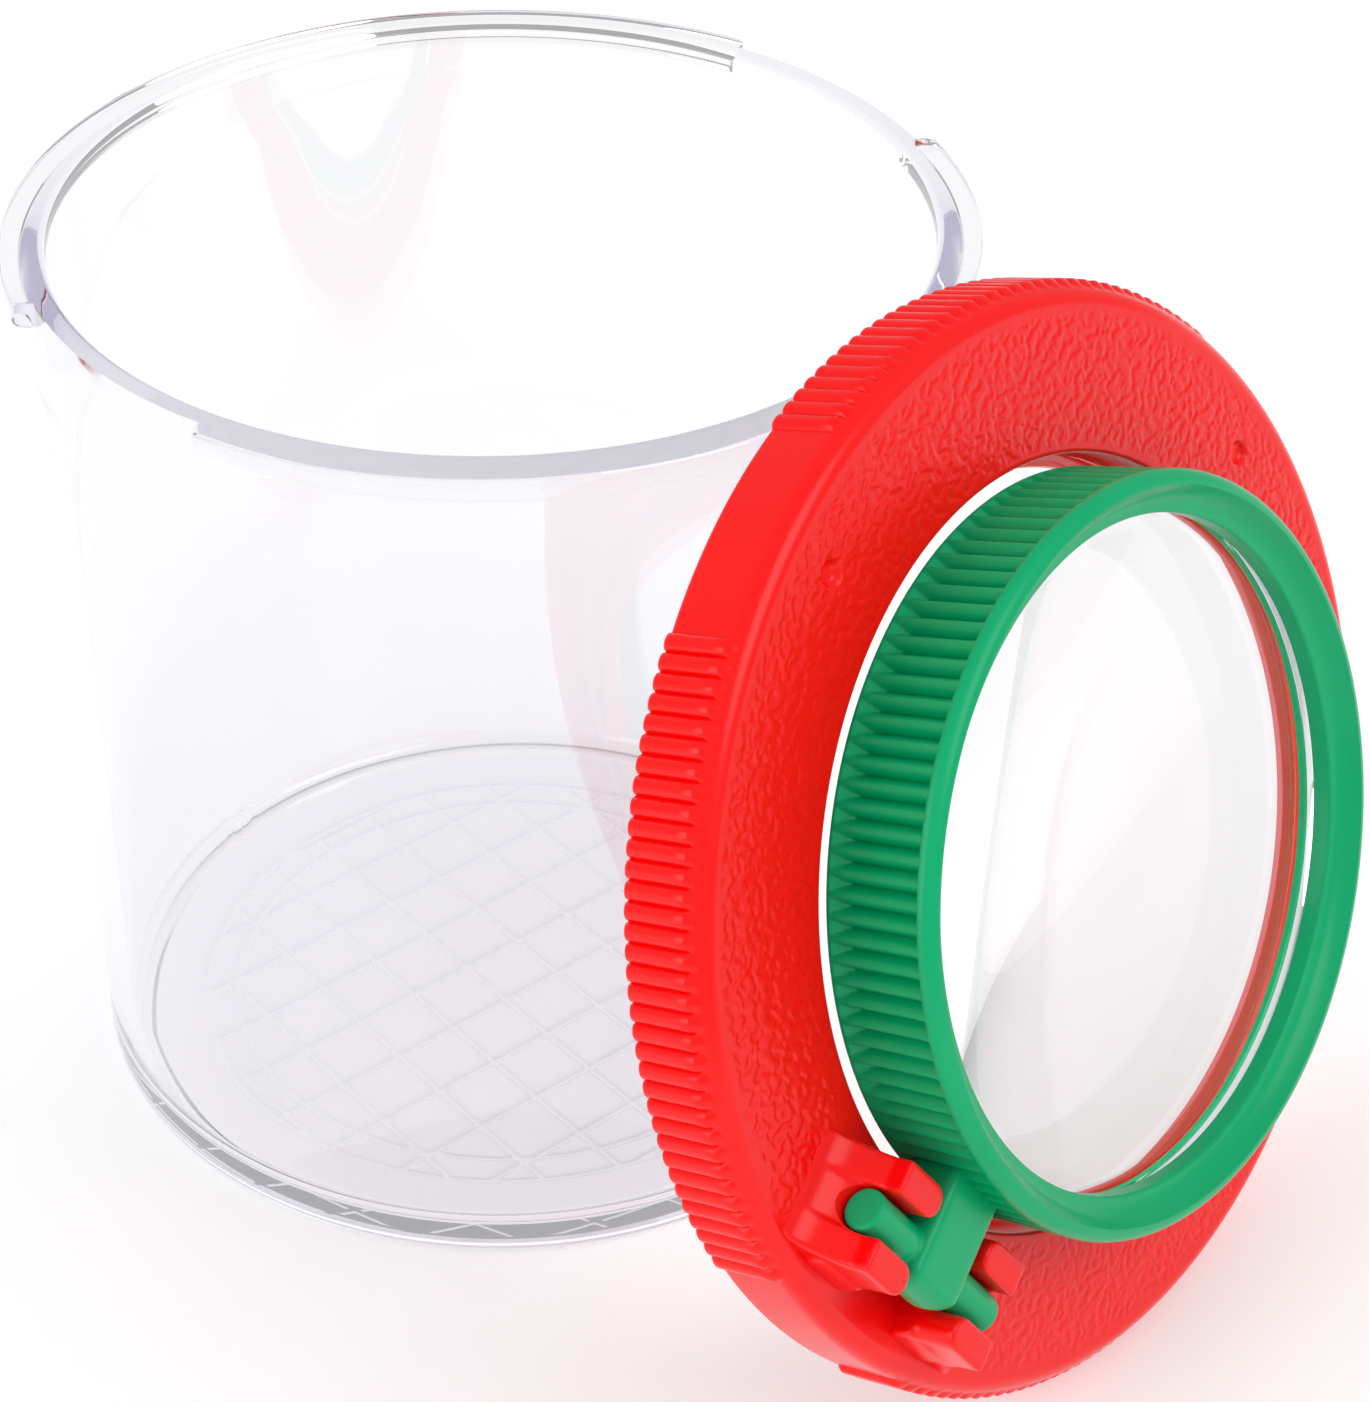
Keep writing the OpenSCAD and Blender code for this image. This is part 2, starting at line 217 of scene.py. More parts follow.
@dataclass
class Section:
    """The outline of a turned body, point by point."""

    angles: np.ndarray
    radii: list[np.ndarray] = field(default_factory=list)
    heights: list[np.ndarray] = field(default_factory=list)

    def add(self, r: np.ndarray | float, z: np.ndarray | float) -> None:
        """Adds a point, whose radius and height are one number or one for each angle."""
        self.radii.append(np.broadcast_to(r, self.angles.shape))
        self.heights.append(np.broadcast_to(z, self.angles.shape))

    def follow(self, points: Sequence[Point]) -> None:
        """Adds points that are the same all round."""
        for r, z in points:
            self.add(r, z)

    def solid(self) -> Solid:
        """Turns the outline about the Z axis.

        The outline runs anticlockwise seen with the axis on its left, from
        foot to top on the outside. Where it starts and ends on the axis,
        each end becomes one point. Otherwise it closes on itself.

        Returns:
            Points and faces.
        """
        radii, heights = np.stack(self.radii, axis=1), np.stack(self.heights, axis=1)
        columns, rows = radii.shape
        capped = radii[0, 0] == 0.0 and radii[0, -1] == 0.0
        inner = slice(1, rows - 1) if capped else slice(0, rows)
        r, z = radii[:, inner], heights[:, inner]
        count = r.shape[1]
        x = r * np.cos(self.angles)[:, None]
        y = r * np.sin(self.angles)[:, None]
        col = np.arange(columns)[:, None]
        row = np.arange(count - 1 if capped else count)[None, :]
        here, ahead = col * count, ((col + 1) % columns) * count
        step = (row + 1) % count
        quads = np.stack([here + row, ahead + row, ahead + step, here + step], axis=2)
        faces: list[list[int]] = quads.reshape(-1, 4).tolist()
        points: list[Corner] = np.stack([x, y, z], axis=2).reshape(-1, 3).tolist()
        if capped:
            foot, top = len(points), len(points) + 1
            points += [(0.0, 0.0, float(heights[0, 0])), (0.0, 0.0, float(heights[0, -1]))]
            for c in range(columns):
                d = (c + 1) % columns
                faces.append([foot, d * count, c * count])
                faces.append([top, c * count + count - 1, d * count + count - 1])
        return points, faces

    def turn(self, name: str) -> bpy.types.Object:
        """Turns the outline to an object of this name, in millimetres."""
        return new_object(name, self.solid())


def skinned(points: list[Corner], around: int) -> Solid:
    """Closes a row of rings, with a face over each end.

    Args:
        points: The points, ring by ring.
        around: Points in one ring.

    Returns:
        Points and faces.
    """
    last = len(points) - around
    faces = [list(reversed(range(around))), [last + i for i in range(around)]]
    for a in range(0, last, around):
        b = a + around
        faces += [[a + i, a + (i + 1) % around, b + (i + 1) % around, b + i] for i in range(around)]
    return points, faces


def lofted(sections: Sequence[tuple[float, float, float, float]], square: float, around: int) -> Solid:
    """A closed finger along X whose section is a rounded rectangle.

    Args:
        sections: Place, half width, lower and upper height of each section.
        square: Power of the section's curve: 2 is an ellipse, more is squarer.
        around: Points round one section.

    Returns:
        Points and faces.
    """
    points: list[Corner] = []
    for x, half, low, high in sections:
        for i in range(around):
            a = 2 * math.pi * i / around
            c, s = math.cos(a), math.sin(a)
            y = math.copysign(abs(c) ** (2 / square), c) * half
            z = math.copysign(abs(s) ** (2 / square), s) * (high - low) / 2
            points.append((x, y, (low + high) / 2 + z))
    return skinned(points, around)


def apply_modifier(piece: bpy.types.Object, kind: str, **settings: Any) -> None:
    """Adds one modifier and applies its result to the mesh.

    Args:
        piece: The object.
        kind: Blender's name for the modifier.
        **settings: Its settings.
    """
    modifier = piece.modifiers.new(kind.lower(), kind)
    for key, value in settings.items():
        setattr(modifier, key, value)
    depsgraph = bpy.context.evaluated_depsgraph_get()
    result = bpy.data.meshes.new_from_object(piece.evaluated_get(depsgraph))
    piece.modifiers.clear()
    old = piece.data
    piece.data = result
    bpy.data.meshes.remove(old)


def cut(piece: bpy.types.Object, solids: Sequence[Solid]) -> None:
    """Cuts solids out of a piece.

    Args:
        piece: The piece.
        solids: What is cut away.
    """
    cutter = new_object("cutter", joined(solids))
    apply_modifier(piece, "BOOLEAN", operation="DIFFERENCE", object=cutter, solver="EXACT", use_self=True)
    bpy.data.objects.remove(cutter)


def moulded(name: str, solids: Sequence[Solid], grain: float, melt: int) -> bpy.types.Object:
    """Solids run together as a moulding, with soft edges and filled corners.

    Args:
        name: Name of the object.
        solids: Closed solids that overlap where they join.
        grain: Size of the remesh's cells.
        melt: Passes of smoothing.

    Returns:
        The object, in millimetres.
    """
    piece = new_object(name, joined(solids))
    apply_modifier(piece, "REMESH", mode="VOXEL", voxel_size=grain, adaptivity=0.0)
    apply_modifier(piece, "SMOOTH", factor=0.5, iterations=melt)
    return piece


def shade(piece: bpy.types.Object, angle: float) -> None:
    """Smooth shading, with edges sharper than the angle kept.

    Args:
        piece: The piece.
        angle: Least angle of a sharp edge, degrees.
    """
    piece.data.shade_smooth()
    piece.data.set_sharp_from_angle(angle=math.radians(angle))


# Finishes


def from_hex(colour: str) -> tuple[float, float, float, float]:
    """Turns an sRGB colour such as "#C8102E" to linear RGBA.

    Args:
        colour: The hex colour.

    Returns:
        Linear red, green, blue and an alpha of 1.
    """
    parts = [int(colour[i : i + 2], 16) / 255 for i in (1, 3, 5)]
    red, green, blue = [c / 12.92 if c <= 0.04045 else ((c + 0.055) / 1.055) ** 2.4 for c in parts]
    return red, green, blue, 1.0


def add_node(tree: bpy.types.NodeTree, kind: str, settings: Sockets, links: Sockets) -> Any:
    """Adds one node.

    Args:
        tree: The node tree.
        kind: Blender's name for the node.
        settings: Attributes of the node, or values of its inputs by name or number.
        links: Inputs, by name or number, to the outputs that feed them.

    Returns:
        The node.
    """
    node = tree.nodes.new(kind)
    for key, value in settings.items():
        if isinstance(key, str) and hasattr(node, key):
            setattr(node, key, value)
        else:
            node.inputs[key].default_value = value
    for key, source in links.items():
        tree.links.new(source, node.inputs[key])
    return node


def per_metre(size_mm: float) -> float:
    """Scale of a texture.

    Args:
        size_mm: How far apart its features are.

    Returns:
        Features in one metre.
    """
    return 1.0 / (size_mm * MM)


def emptied_tree(owner: bpy.types.Material | bpy.types.World) -> bpy.types.NodeTree:
    """Makes room for a material's or the world's own nodes.

    Args:
        owner: The material or the world.

    Returns:
        Its node tree, without the default nodes.
    """
    owner.use_nodes = True
    owner.node_tree.nodes.clear()
    return owner.node_tree


@dataclass(frozen=True)
class MouldedPlastic:
    """Opaque polypropylene, injection moulded in a spark-eroded tool.

    The tool leaves a satin skin with a soft sheen, a little uneven where the
    melt cooled against it, and a slight cloudiness in the colour. The real
    skin has about 0.1 mm from peak to peak, too fine to show, so it is drawn
    at 0.35 mm.
    """

    name: str
    slot: str
    colour: str
    cloudy: str
    roughness: float
    sheen: float
    ior: float = 1.49
    gloss_spread: float = 0.04
    skin_mm: float = 0.35
    skin_depth_mm: float = 0.006
    skin_octaves: float = 4.0
    cloud_mm: float = 9.0
    cloud_octaves: float = 3.0

    def material(self) -> bpy.types.Material:
        """Builds the node material.

        Returns:
            The material.
        """
        mat = bpy.data.materials.new(self.name)
        tree = emptied_tree(mat)
        where = add_node(tree, "ShaderNodeTexCoord", {}, {}).outputs["Object"]
        clouds = {"Scale": per_metre(self.cloud_mm), "Detail": self.cloud_octaves}
        cloud = add_node(tree, "ShaderNodeTexNoise", clouds, {"Vector": where}).outputs["Fac"]
        grit = {"Scale": per_metre(self.skin_mm), "Detail": self.skin_octaves}
        skin = add_node(tree, "ShaderNodeTexNoise", grit, {"Vector": where}).outputs["Fac"]
        depth = {"Distance": self.skin_depth_mm * MM, "Strength": 1.0}
        normal = add_node(tree, "ShaderNodeBump", depth, {"Height": skin}).outputs["Normal"]
        # A mix of colours takes them at sockets 6 and 7 and gives its own at 2
        colours = {"data_type": "RGBA", 6: from_hex(self.colour), 7: from_hex(self.cloudy)}
        blend = add_node(tree, "ShaderNodeMix", colours, {0: cloud}).outputs[2]
        spread = {"To Min": self.roughness - self.gloss_spread, "To Max": self.roughness + self.gloss_spread}
        gloss = add_node(tree, "ShaderNodeMapRange", spread, {"Value": cloud}).outputs["Result"]
        shader = add_node(
            tree,
            "ShaderNodeBsdfPrincipled",
            {"IOR": self.ior, "Specular IOR Level": self.sheen},
            {"Base Color": blend, "Roughness": gloss, "Normal": normal},
        )
        add_node(tree, "ShaderNodeOutputMaterial", {}, {"Surface": shader.outputs[0]})
        return mat


@dataclass(frozen=True)
class ClearPlastic:
    """Crystal polystyrene or acrylic, injection moulded in a polished tool.

    It is as clear as glass, with a faint violet cast that gathers in thick
    edges, and the walls ripple slightly where the melt flowed. A ray that
    has met more surfaces than `most_bends` goes straight on. From
    `rim_from_mm` up it is one fewer, because a real rim scatters the light
    that runs round in it and shows no clean picture of what lies behind.
    """

    name: str
    slot: str
    tint: str
    depth_tint: str
    density: float
    ior: float
    roughness: float = 0.02
    ripple_mm: float = 14.0
    ripple_depth_mm: float = 0.012
    ripple_octaves: float = 1.0
    most_bends: float = 3.5
    rim_from_mm: float = 1000.0

    def material(self) -> bpy.types.Material:
        """Builds the node material.

        Returns:
            The material.
        """
        mat = bpy.data.materials.new(self.name)
        tree = emptied_tree(mat)
        where = add_node(tree, "ShaderNodeTexCoord", {}, {}).outputs["Object"]
        waves = {"Scale": per_metre(self.ripple_mm), "Detail": self.ripple_octaves}
        ripple = add_node(tree, "ShaderNodeTexNoise", waves, {"Vector": where}).outputs["Fac"]
        lift = {"Distance": self.ripple_depth_mm * MM, "Strength": 1.0}
        normal = add_node(tree, "ShaderNodeBump", lift, {"Height": ripple}).outputs["Normal"]
        look = {
            "Base Color": from_hex(self.tint),
            "Roughness": self.roughness,
            "IOR": self.ior,
            "Transmission Weight": 1.0,
        }
        clear = add_node(tree, "ShaderNodeBsdfPrincipled", look, {"Normal": normal})
        passed = add_node(tree, "ShaderNodeBsdfTransparent", {"Color": from_hex(self.tint)}, {})
        path = add_node(tree, "ShaderNodeLightPath", {}, {}).outputs
        height = add_node(tree, "ShaderNodeSeparateXYZ", {}, {0: where}).outputs["Z"]
        above = {"operation": "GREATER_THAN", 1: self.rim_from_mm * MM}
        in_rim = add_node(tree, "ShaderNodeMath", above, {0: height}).outputs[0]
        terms = {0: path["Ray Depth"], 1: in_rim}
        bends = add_node(tree, "ShaderNodeMath", {"operation": "ADD"}, terms).outputs[0]
        too_many = {"operation": "GREATER_THAN", 1: self.most_bends}
        trapped = add_node(tree, "ShaderNodeMath", too_many, {0: bends}).outputs[0]
        either = {0: path["Is Shadow Ray"], 1: trapped}
        goes_on = add_node(tree, "ShaderNodeMath", {"operation": "MAXIMUM"}, either).outputs[0]
        shaders = {0: goes_on, 1: clear.outputs[0], 2: passed.outputs[0]}
        surface = add_node(tree, "ShaderNodeMixShader", {}, shaders).outputs[0]
        inside = {"Color": from_hex(self.depth_tint), "Density": self.density}
        volume = add_node(tree, "ShaderNodeVolumeAbsorption", inside, {}).outputs[0]
        add_node(tree, "ShaderNodeOutputMaterial", {}, {"Surface": surface, "Volume": volume})
        return mat


# Polypropylene, moulded: a full, warm red with a satin sheen and broad, soft highlights
RED = MouldedPlastic(
    name="red_polypropylene_moulded",
    slot="red_plastic",
    colour="#FF0506",
    cloudy="#FB0304",
    roughness=0.24,
    sheen=0.36,
)
# The same stock in a bluish green, a little duller, so that its ribs show by their shade
GREEN = MouldedPlastic(
    name="green_polypropylene_moulded",
    slot="green_plastic",
    colour="#01B072",
    cloudy="#01A668",
    roughness=0.26,
    sheen=0.26,
)
# Crystal polystyrene from a polished tool: clear walls, bright edges and a violet rim
CRYSTAL = ClearPlastic(
    name="crystal_polystyrene_polished",
    slot="clear_plastic",
    tint="#FDFDFE",
    depth_tint="#CCC8DE",
    density=18.0,
    ior=1.59,
    rim_from_mm=40.0,
)
# Acrylic from an optical tool: clearer than the jar, and without its ripple
ACRYLIC = ClearPlastic(
    name="lens_acrylic_polished",
    slot="lens_plastic",
    tint="#FEFEFE",
    depth_tint="#D9DCE6",
    density=5.0,
    ior=1.49,
    roughness=0.01,
    ripple_mm=30.0,
    ripple_depth_mm=0.0,
)


# Pieces


@dataclass(frozen=True)
class LeaningAxes:
    """Where the lid's own axes lie while it leans on the jar."""

    lean: float = 18.7
    azimuth: float = -41.2
    spin: float = -60.0
    lid_r: float = 36.2
    out: float = 42.23692

    def matrix(self) -> Matrix:
        """Takes millimetres about the lid's axis to the frame's metres.

        Returns:
            The transform.
        """
        about = math.radians(self.azimuth)
        up = self.lid_r * math.cos(math.radians(self.lean))
        centre = Vector((self.out * math.cos(about), self.out * math.sin(about), up))
        turn = (
            Matrix.Rotation(about, 4, "Z")
            @ Matrix.Rotation(math.radians(90.0 - self.lean), 4, "Y")
            @ Matrix.Rotation(math.radians(self.spin), 4, "Z")
        )
        return Matrix.Scale(MM, 4) @ Matrix.Translation(centre) @ turn


# The materials by the names of their finishes, each made once
FINISHES: dict[str, bpy.types.Material] = {}


def place(
    piece: bpy.types.Object,
    finish: MouldedPlastic | ClearPlastic,
    body: str,
    nodes: Sequence[str],
    axes: Matrix,
) -> None:
    """Lays a finished mesh in the frame, on the body that it rides on, and hides the frame's nodes that it
    replaces.

    Args:
        piece: The piece, in millimetres.
        finish: Its finish.
        body: The body that it rides on.
        nodes: The frame's nodes that it replaces.
        axes: From its own millimetres to the frame's metres.
    """
    piece.data.transform(axes)
    piece.data.materials.clear()
    piece.data.materials.append(FINISHES[finish.name])
    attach(piece, body)
    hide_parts(*nodes)
    LOG.info("%s: %d faces on %s", piece.name, len(piece.data.polygons), body)


@dataclass
class Jar:
    """The clear cup with its bayonet flange and the grid under its base."""

    height: float = 65.4
    top_r: float = 31.0
    base_r: float = 30.6
    wall: float = 1.6
    floor: float = 1.6
    foot_round: float = 1.1
    corner_round: float = 2.0
    rim_round: float = 0.5
    flange_out: float = 1.42
    flange_t: float = 1.7
    flange_round: float = 0.35
    flange_end: float = 0.8
    gap_angle: float = 35.0
    gap_az: float = 37.0
    grid_pitch: float = 5.0
    grid_line: float = 0.45
    grid_depth: float = 0.25
    grid_r: float = 23.4
    ring_r: float = 21.0
    foot_line_r: float = 28.0
    foot_line_depth: float = 0.4
    cut_from: float = -1.0
    sharp_above: float = 28.0
    segments: int = 288
    ring_segments: int = 144
    flange_columns: tuple[float, ...] = (0.0, 0.04, 0.1, 0.2, 0.35, 0.55, 0.8, 1.0)

    def angles(self) -> np.ndarray:
        """Angles of the columns, closer together at the flange's ends.

        Returns:
            Radians, rising through one turn.
        """
        even = np.linspace(0.0, 360.0, self.segments, endpoint=False)
        span = math.degrees(self.flange_end / (self.top_r + self.flange_out))
        extra = []
        for middle in (self.gap_az, self.gap_az + 180.0):
            for side in (-1.0, 1.0):
                end = middle + side * self.gap_angle / 2
                extra += [end + side * span * t for t in self.flange_columns]
        # Rounding lets columns that fall together count as one
        every = np.unique(np.round(np.concatenate([even, np.array(extra) % 360.0]), 5))
        return np.radians(every)

    def flange_share(self, angles: np.ndarray) -> np.ndarray:
        """How much of the flange's reach there is at each angle.

        Args:
            angles: Radians.

        Returns:
            0 in the gaps, 1 along the arcs, rounded between.
        """
        degrees = np.degrees(angles)
        away = np.abs((degrees - self.gap_az + 90.0) % 180.0 - 90.0)
        span = math.degrees(self.flange_end / (self.top_r + self.flange_out))
        t = np.clip((away - self.gap_angle / 2) / span, 0.0, 1.0)
        return np.sqrt(1.0 - (1.0 - t) ** 2)

    def build(self) -> bpy.types.Object:
        """Turns the cup and cuts the lines in its underside.

        Returns:
            The cup, in millimetres.
        """
        in_top, in_base = self.top_r - self.wall, self.base_r - self.wall
        groove = self.foot_line_depth
        under, rim, flat = self.height - self.flange_t, self.height, self.flange_round
        foot = [(0.0, 0.0), (self.foot_line_r - groove, 0.0), (self.foot_line_r, groove)]
        foot += [(self.foot_line_r + groove, 0.0)]
        foot += arc(self.base_r - self.foot_round, self.foot_round, self.foot_round, -90, 0, steps=8)
        foot += line((self.base_r, self.foot_round), (self.top_r, under - flat), steps=12)[1:]
        # Each point of the band below has its height and its share of the flange's reach
        band = [(under - flat * 0.3, 0.02), (under - flat * 0.05, 0.1), (under, 0.25), (under, 0.75)]
        band += [(under + flat * 0.1, 0.9), (under + flat * 0.4, 0.975), (under + flat, 1.0)]
        band += [(rim - flat, 1.0), (rim - flat * 0.4, 0.975), (rim - flat * 0.1, 0.9), (rim, 0.75)]
        inside = [(self.top_r - self.rim_round, rim)]
        inside += arc(in_top + self.rim_round, rim - self.rim_round, self.rim_round, 90, 180)
        corner = self.floor + self.corner_round
        inside += line((in_top, rim - self.rim_round), (in_base, corner), steps=12)[1:]
        inside += arc(in_base - self.corner_round, corner, self.corner_round, 0, -90, steps=10)[1:]
        inside += [(0.0, self.floor)]
        section = Section(self.angles())
        share = self.flange_share(section.angles)
        section.follow(foot)
        for z, reach in band:
            section.add(self.top_r + self.flange_out * reach * share, z)
        section.follow(inside)
        cup = section.turn("jar_cup")
        cut(cup, self.lines())
        shade(cup, self.sharp_above)
        return cup

    def lines(self) -> list[Solid]:
        """Cutters for the grid and its two circles.

        Returns:
            The solids.
        """
        low, high = self.cut_from, self.grid_depth
        half_line = self.grid_line / 2
        solids: list[Solid] = []
        count = int(self.grid_r / self.grid_pitch + 0.5)
        for quarter in (0.0, 90.0):
            turn = Matrix.Rotation(math.radians(self.gap_az + quarter), 3, "Z")
            for i in range(-count, count):
                at = (i + 0.5) * self.grid_pitch
                half = math.sqrt(self.grid_r**2 - at**2)
                points, faces = box((-half, at - half_line, low), (half, at + half_line, high))
                solids.append(([tuple(turn @ Vector(p)) for p in points], faces))
        for radius in (self.grid_r, self.ring_r):
            inner, outer = radius - half_line, radius + half_line
            ring = Section(even_angles(self.ring_segments))
            ring.follow([(inner, low), (outer, low), (outer, high), (inner, high)])
            solids.append(ring.solid())
        return solids

    def dress(self) -> None:
        """Builds the cup and lays it in the frame."""
        place(self.build(), CRYSTAL, "jar", ["jar"], Matrix.Scale(MM, 4))


@dataclass
class Lid:
    """The red lid: ribbed skirt, grained face, lugs, and the posts of the hinge."""

    height: float = 5.9
    over_ribs_r: float = 36.2
    rib_h: float = 0.4
    rib_places: int = 46
    rib_smooth: int = 12
    facets_per_rib: int = 8
    skirt_wall: float = 1.8
    cavity: float = 3.9
    shoulder: float = 1.3
    edge_round: float = 0.3
    ease: float = 0.1
    root: float = 0.2
    ledge_r: float = 23.9
    ledge_h: float = 1.2
    opening_r: float = 25.2
    opening_edge: float = 0.3
    collar_r: float = 26.5
    core_depth: float = 3.4
    plug_in_r: float = 27.7
    plug_r: float = 29.1
    bead: float = 0.3
    bead_low: float = 2.9
    lug_r: float = 31.35
    lug_low: float = 0.51
    lug_high: float = 2.05
    lug_angle: float = 30.0
    lug_fade: float = 0.6
    rib_end_slope: float = 0.55
    shoulder_rows: int = 22
    dimple_r: float = 1.0
    dimple_flat: float = 0.45
    dimple_depth: float = 0.5
    dimple_at: float = 31.0
    grain_rows: int = 84
    grain_in: float = 25.8
    grain_out: float = 34.45
    grain_fade: float = 0.9
    grain_mm: float = 0.56
    grain_depth: float = 0.055
    grain_bend: float = 0.6
    grain_bend_rate: float = 0.7
    grain_fine: float = 0.35
    grain_fine_rate: float = 2.1
    # How far below 0 the noise has its creases, and how far above them the pads start
    crease: tuple[float, float] = (0.24, 0.34)
    # The patch round the hinge: from X, to X, and half its breadth along Y
    bare: tuple[float, float, float] = (24.0, 34.2, 9.6)
    bare_fade: tuple[float, float] = (0.2, 1.2)
    melt: int = 56
    cell: float = 0.09
    sharp_above: float = 40.0
    clips_sharp_above: float = 38.0
    dimple_angles: tuple[float, ...] = (90.0, 180.0, 270.0)
    axes: LeaningAxes = field(default_factory=LeaningAxes)

    @property
    def smooth_r(self) -> float:
        """Radius of the skirt between the ribs."""
        return self.over_ribs_r - self.rib_h

    def grain(self, x: np.ndarray, y: np.ndarray) -> np.ndarray:
        """Height of the leather grain at points of the face.

        Crooked pads like grains of rice stand up from a net of creases, as
        in leather etched into a mould.

        Args:
            x: Across.
            y: Along.

        Returns:
            Heights, at most 0.
        """
        out = np.empty(len(x))
        f = 1.0 / self.grain_mm
        slow, fine = self.grain_bend_rate, self.grain_fine_rate
        least, span = self.crease
        # The third coordinates only keep the four noises apart
        for i, (px, py) in enumerate(zip(x.tolist(), y.tolist())):
            u = px * f + noise.noise((px * f * slow, py * f * slow, 7.0)) * self.grain_bend
            v = py * f + noise.noise((px * f * slow, py * f * slow, 19.0)) * self.grain_bend
            rise = noise.noise((u, v, 0.0)) + self.grain_fine * noise.noise((u * fine, v * fine, 31.0))
            t = min(1.0, max(0.0, (rise + least) / span))
            out[i] = t * t * (3.0 - 2.0 * t) - 1.0
        return out * self.grain_depth

    def rib_rise(self, angles: np.ndarray) -> np.ndarray:
        """Height of the ribs at each angle.

        Args:
            angles: Radians.

        Returns:
            Half rounds with sharp valleys, and 0 along the smooth stretches.
        """
        turn = np.degrees(angles) % 360.0 / (90.0 / self.rib_places)
        place_in_quarter = np.floor(turn) % self.rib_places
        half = self.rib_smooth / 2
        ribbed = (place_in_quarter >= half) & (place_in_quarter < self.rib_places - half)
        across = turn - np.floor(turn)
        bump = np.sqrt(np.clip(1.0 - ((across - 0.5) / 0.5) ** 2, 0.0, 1.0))
        return np.where(ribbed, bump * self.rib_h, 0.0)

    def outline(self) -> list[Point]:
        """The lid's section, from the opening's lower edge round to the seat.

        Returns:
            Radius and height of each point.
        """
        er, ease, root = self.edge_round, self.ease, self.root
        points = [(self.ledge_r + er / 2, self.ledge_h), (self.ledge_r, self.ledge_h - er)]
        points += arc(self.ledge_r + er, er, er, 180, 270, steps=4)
        points += [(self.collar_r - ease, 0.0), (self.collar_r, ease), (self.collar_r, self.core_depth)]
        points += [(self.plug_in_r, self.core_depth), (self.plug_in_r, ease), (self.plug_in_r + ease, 0.0)]
        points += arc(self.plug_r - er, er, er, -90, 0, steps=4)
        points += [(self.plug_r, self.cavity - root)]
        points += [(self.plug_r + root * 0.3, self.cavity - root * 0.3), (self.plug_r + root, self.cavity)]
        return points

    def build_shell(self) -> bpy.types.Object:
        """Turns the lid with its ribs, lugs, grain and dimples.

        Returns:
            The lid without its posts, in millimetres.
        """
        section = Section(even_angles(4 * self.rib_places * self.facets_per_rib))
        angles = section.angles
        rise = self.rib_rise(angles)
        around = (np.degrees(angles) + 90.0) % 180.0 - 90.0
        lug = smooth_step(self.lug_angle / 2 - np.abs(around), 0.0, self.lug_fade)
        in_r = self.smooth_r - self.skirt_wall
        er, sh, w = self.edge_round, self.shoulder, self.height
        section.follow(self.outline())
        section.follow([(in_r - self.root, self.cavity), (in_r, self.cavity - self.root)])
        # Each row of a lug has its height and its share of the lug's reach
        ease, step = self.ease, self.ease / 5
        lug_rows = [(self.lug_high + step, 0.0), (self.lug_high, 0.9), (self.lug_high - ease, 1.0)]
        lug_rows += [(self.lug_low + ease, 1.0), (self.lug_low, 0.9), (self.lug_low - step, 0.0)]
        for z, share in lug_rows:
            section.add(in_r - (in_r - self.lug_r) * share * lug, z)
        section.follow(arc(in_r + er, er, er, 180, 270, steps=4))
        for r, z in arc(self.smooth_r - er, er, er, -90, 0, steps=4):
            section.add(r + rise * (1 if z > 0 else 0), z)
        top = w - sh
        for z in np.linspace(2 * er, top, num=6):
            section.add(self.smooth_r + rise, z)
        # The ribs end on a slope that meets the shoulder
        for a in np.linspace(0.0, 90.0, self.shoulder_rows)[1:]:
            r0 = self.smooth_r - sh + sh * math.cos(math.radians(a))
            z0 = top + sh * math.sin(math.radians(a))
            fade = np.clip(rise - (z0 - top) * self.rib_end_slope, 0.0, None)
            section.add(r0 + fade, z0)
        for r in np.linspace(self.smooth_r - sh, self.grain_out, num=5)[1:]:
            section.add(r, w)
        edge = self.opening_edge
        for r in np.linspace(self.grain_out, self.opening_r + edge, self.grain_rows)[1:]:
            section.add(r, self.face_height(r, angles))
        section.follow(arc(self.opening_r + edge, w - edge, edge, 90, 180, steps=4)[1:])
        section.add(self.opening_r, self.bead_low + 2 * self.bead)
        section.add(self.opening_r - self.bead, self.bead_low + self.bead)
        section.follow([(self.opening_r, self.bead_low), (self.opening_r, self.ledge_h)])
        return section.turn("lid_moulding")

    def face_height(self, r: float, angles: np.ndarray) -> np.ndarray:
        """Height of the grained face along one circle.

        Args:
            r: Radius of the circle.
            angles: Radians.

        Returns:
            Heights above the skirt's edge.
        """
        x, y = r * np.cos(angles), r * np.sin(angles)
        inner = smooth_step(np.full(len(x), r), self.grain_in - self.root, self.grain_in + self.edge_round)
        outer = 1.0 - smooth_step(np.full(len(x), r), self.grain_out - self.grain_fade, self.grain_out)
        # The face stays bare round the hinge
        from_x, to_x, half_y = self.bare
        beside = np.maximum(np.abs(y) - half_y, 0.0) + np.maximum(np.maximum(from_x - x, x - to_x), 0.0)
        grained = inner * outer * smooth_step(beside, *self.bare_fade)
        z = self.height + self.grain(x, y) * grained
        for a in map(math.radians, self.dimple_angles):
            d = np.hypot(x - self.dimple_at * math.cos(a), y - self.dimple_at * math.sin(a))
            pit = 1.0 - smooth_step(d, self.dimple_r * self.dimple_flat, self.dimple_r)
            z = z * (1 - pit) + (self.height - self.dimple_depth) * pit
        return z

    def dress(self) -> None:
        """Builds the lid and lays it in the frame."""
        shell = self.build_shell()
        shade(shell, self.sharp_above)
        place(shell, RED, "lid", ["lid"], self.axes.matrix())
        clips = self.build_clips()
        place(clips, RED, "lid", [], self.axes.matrix())

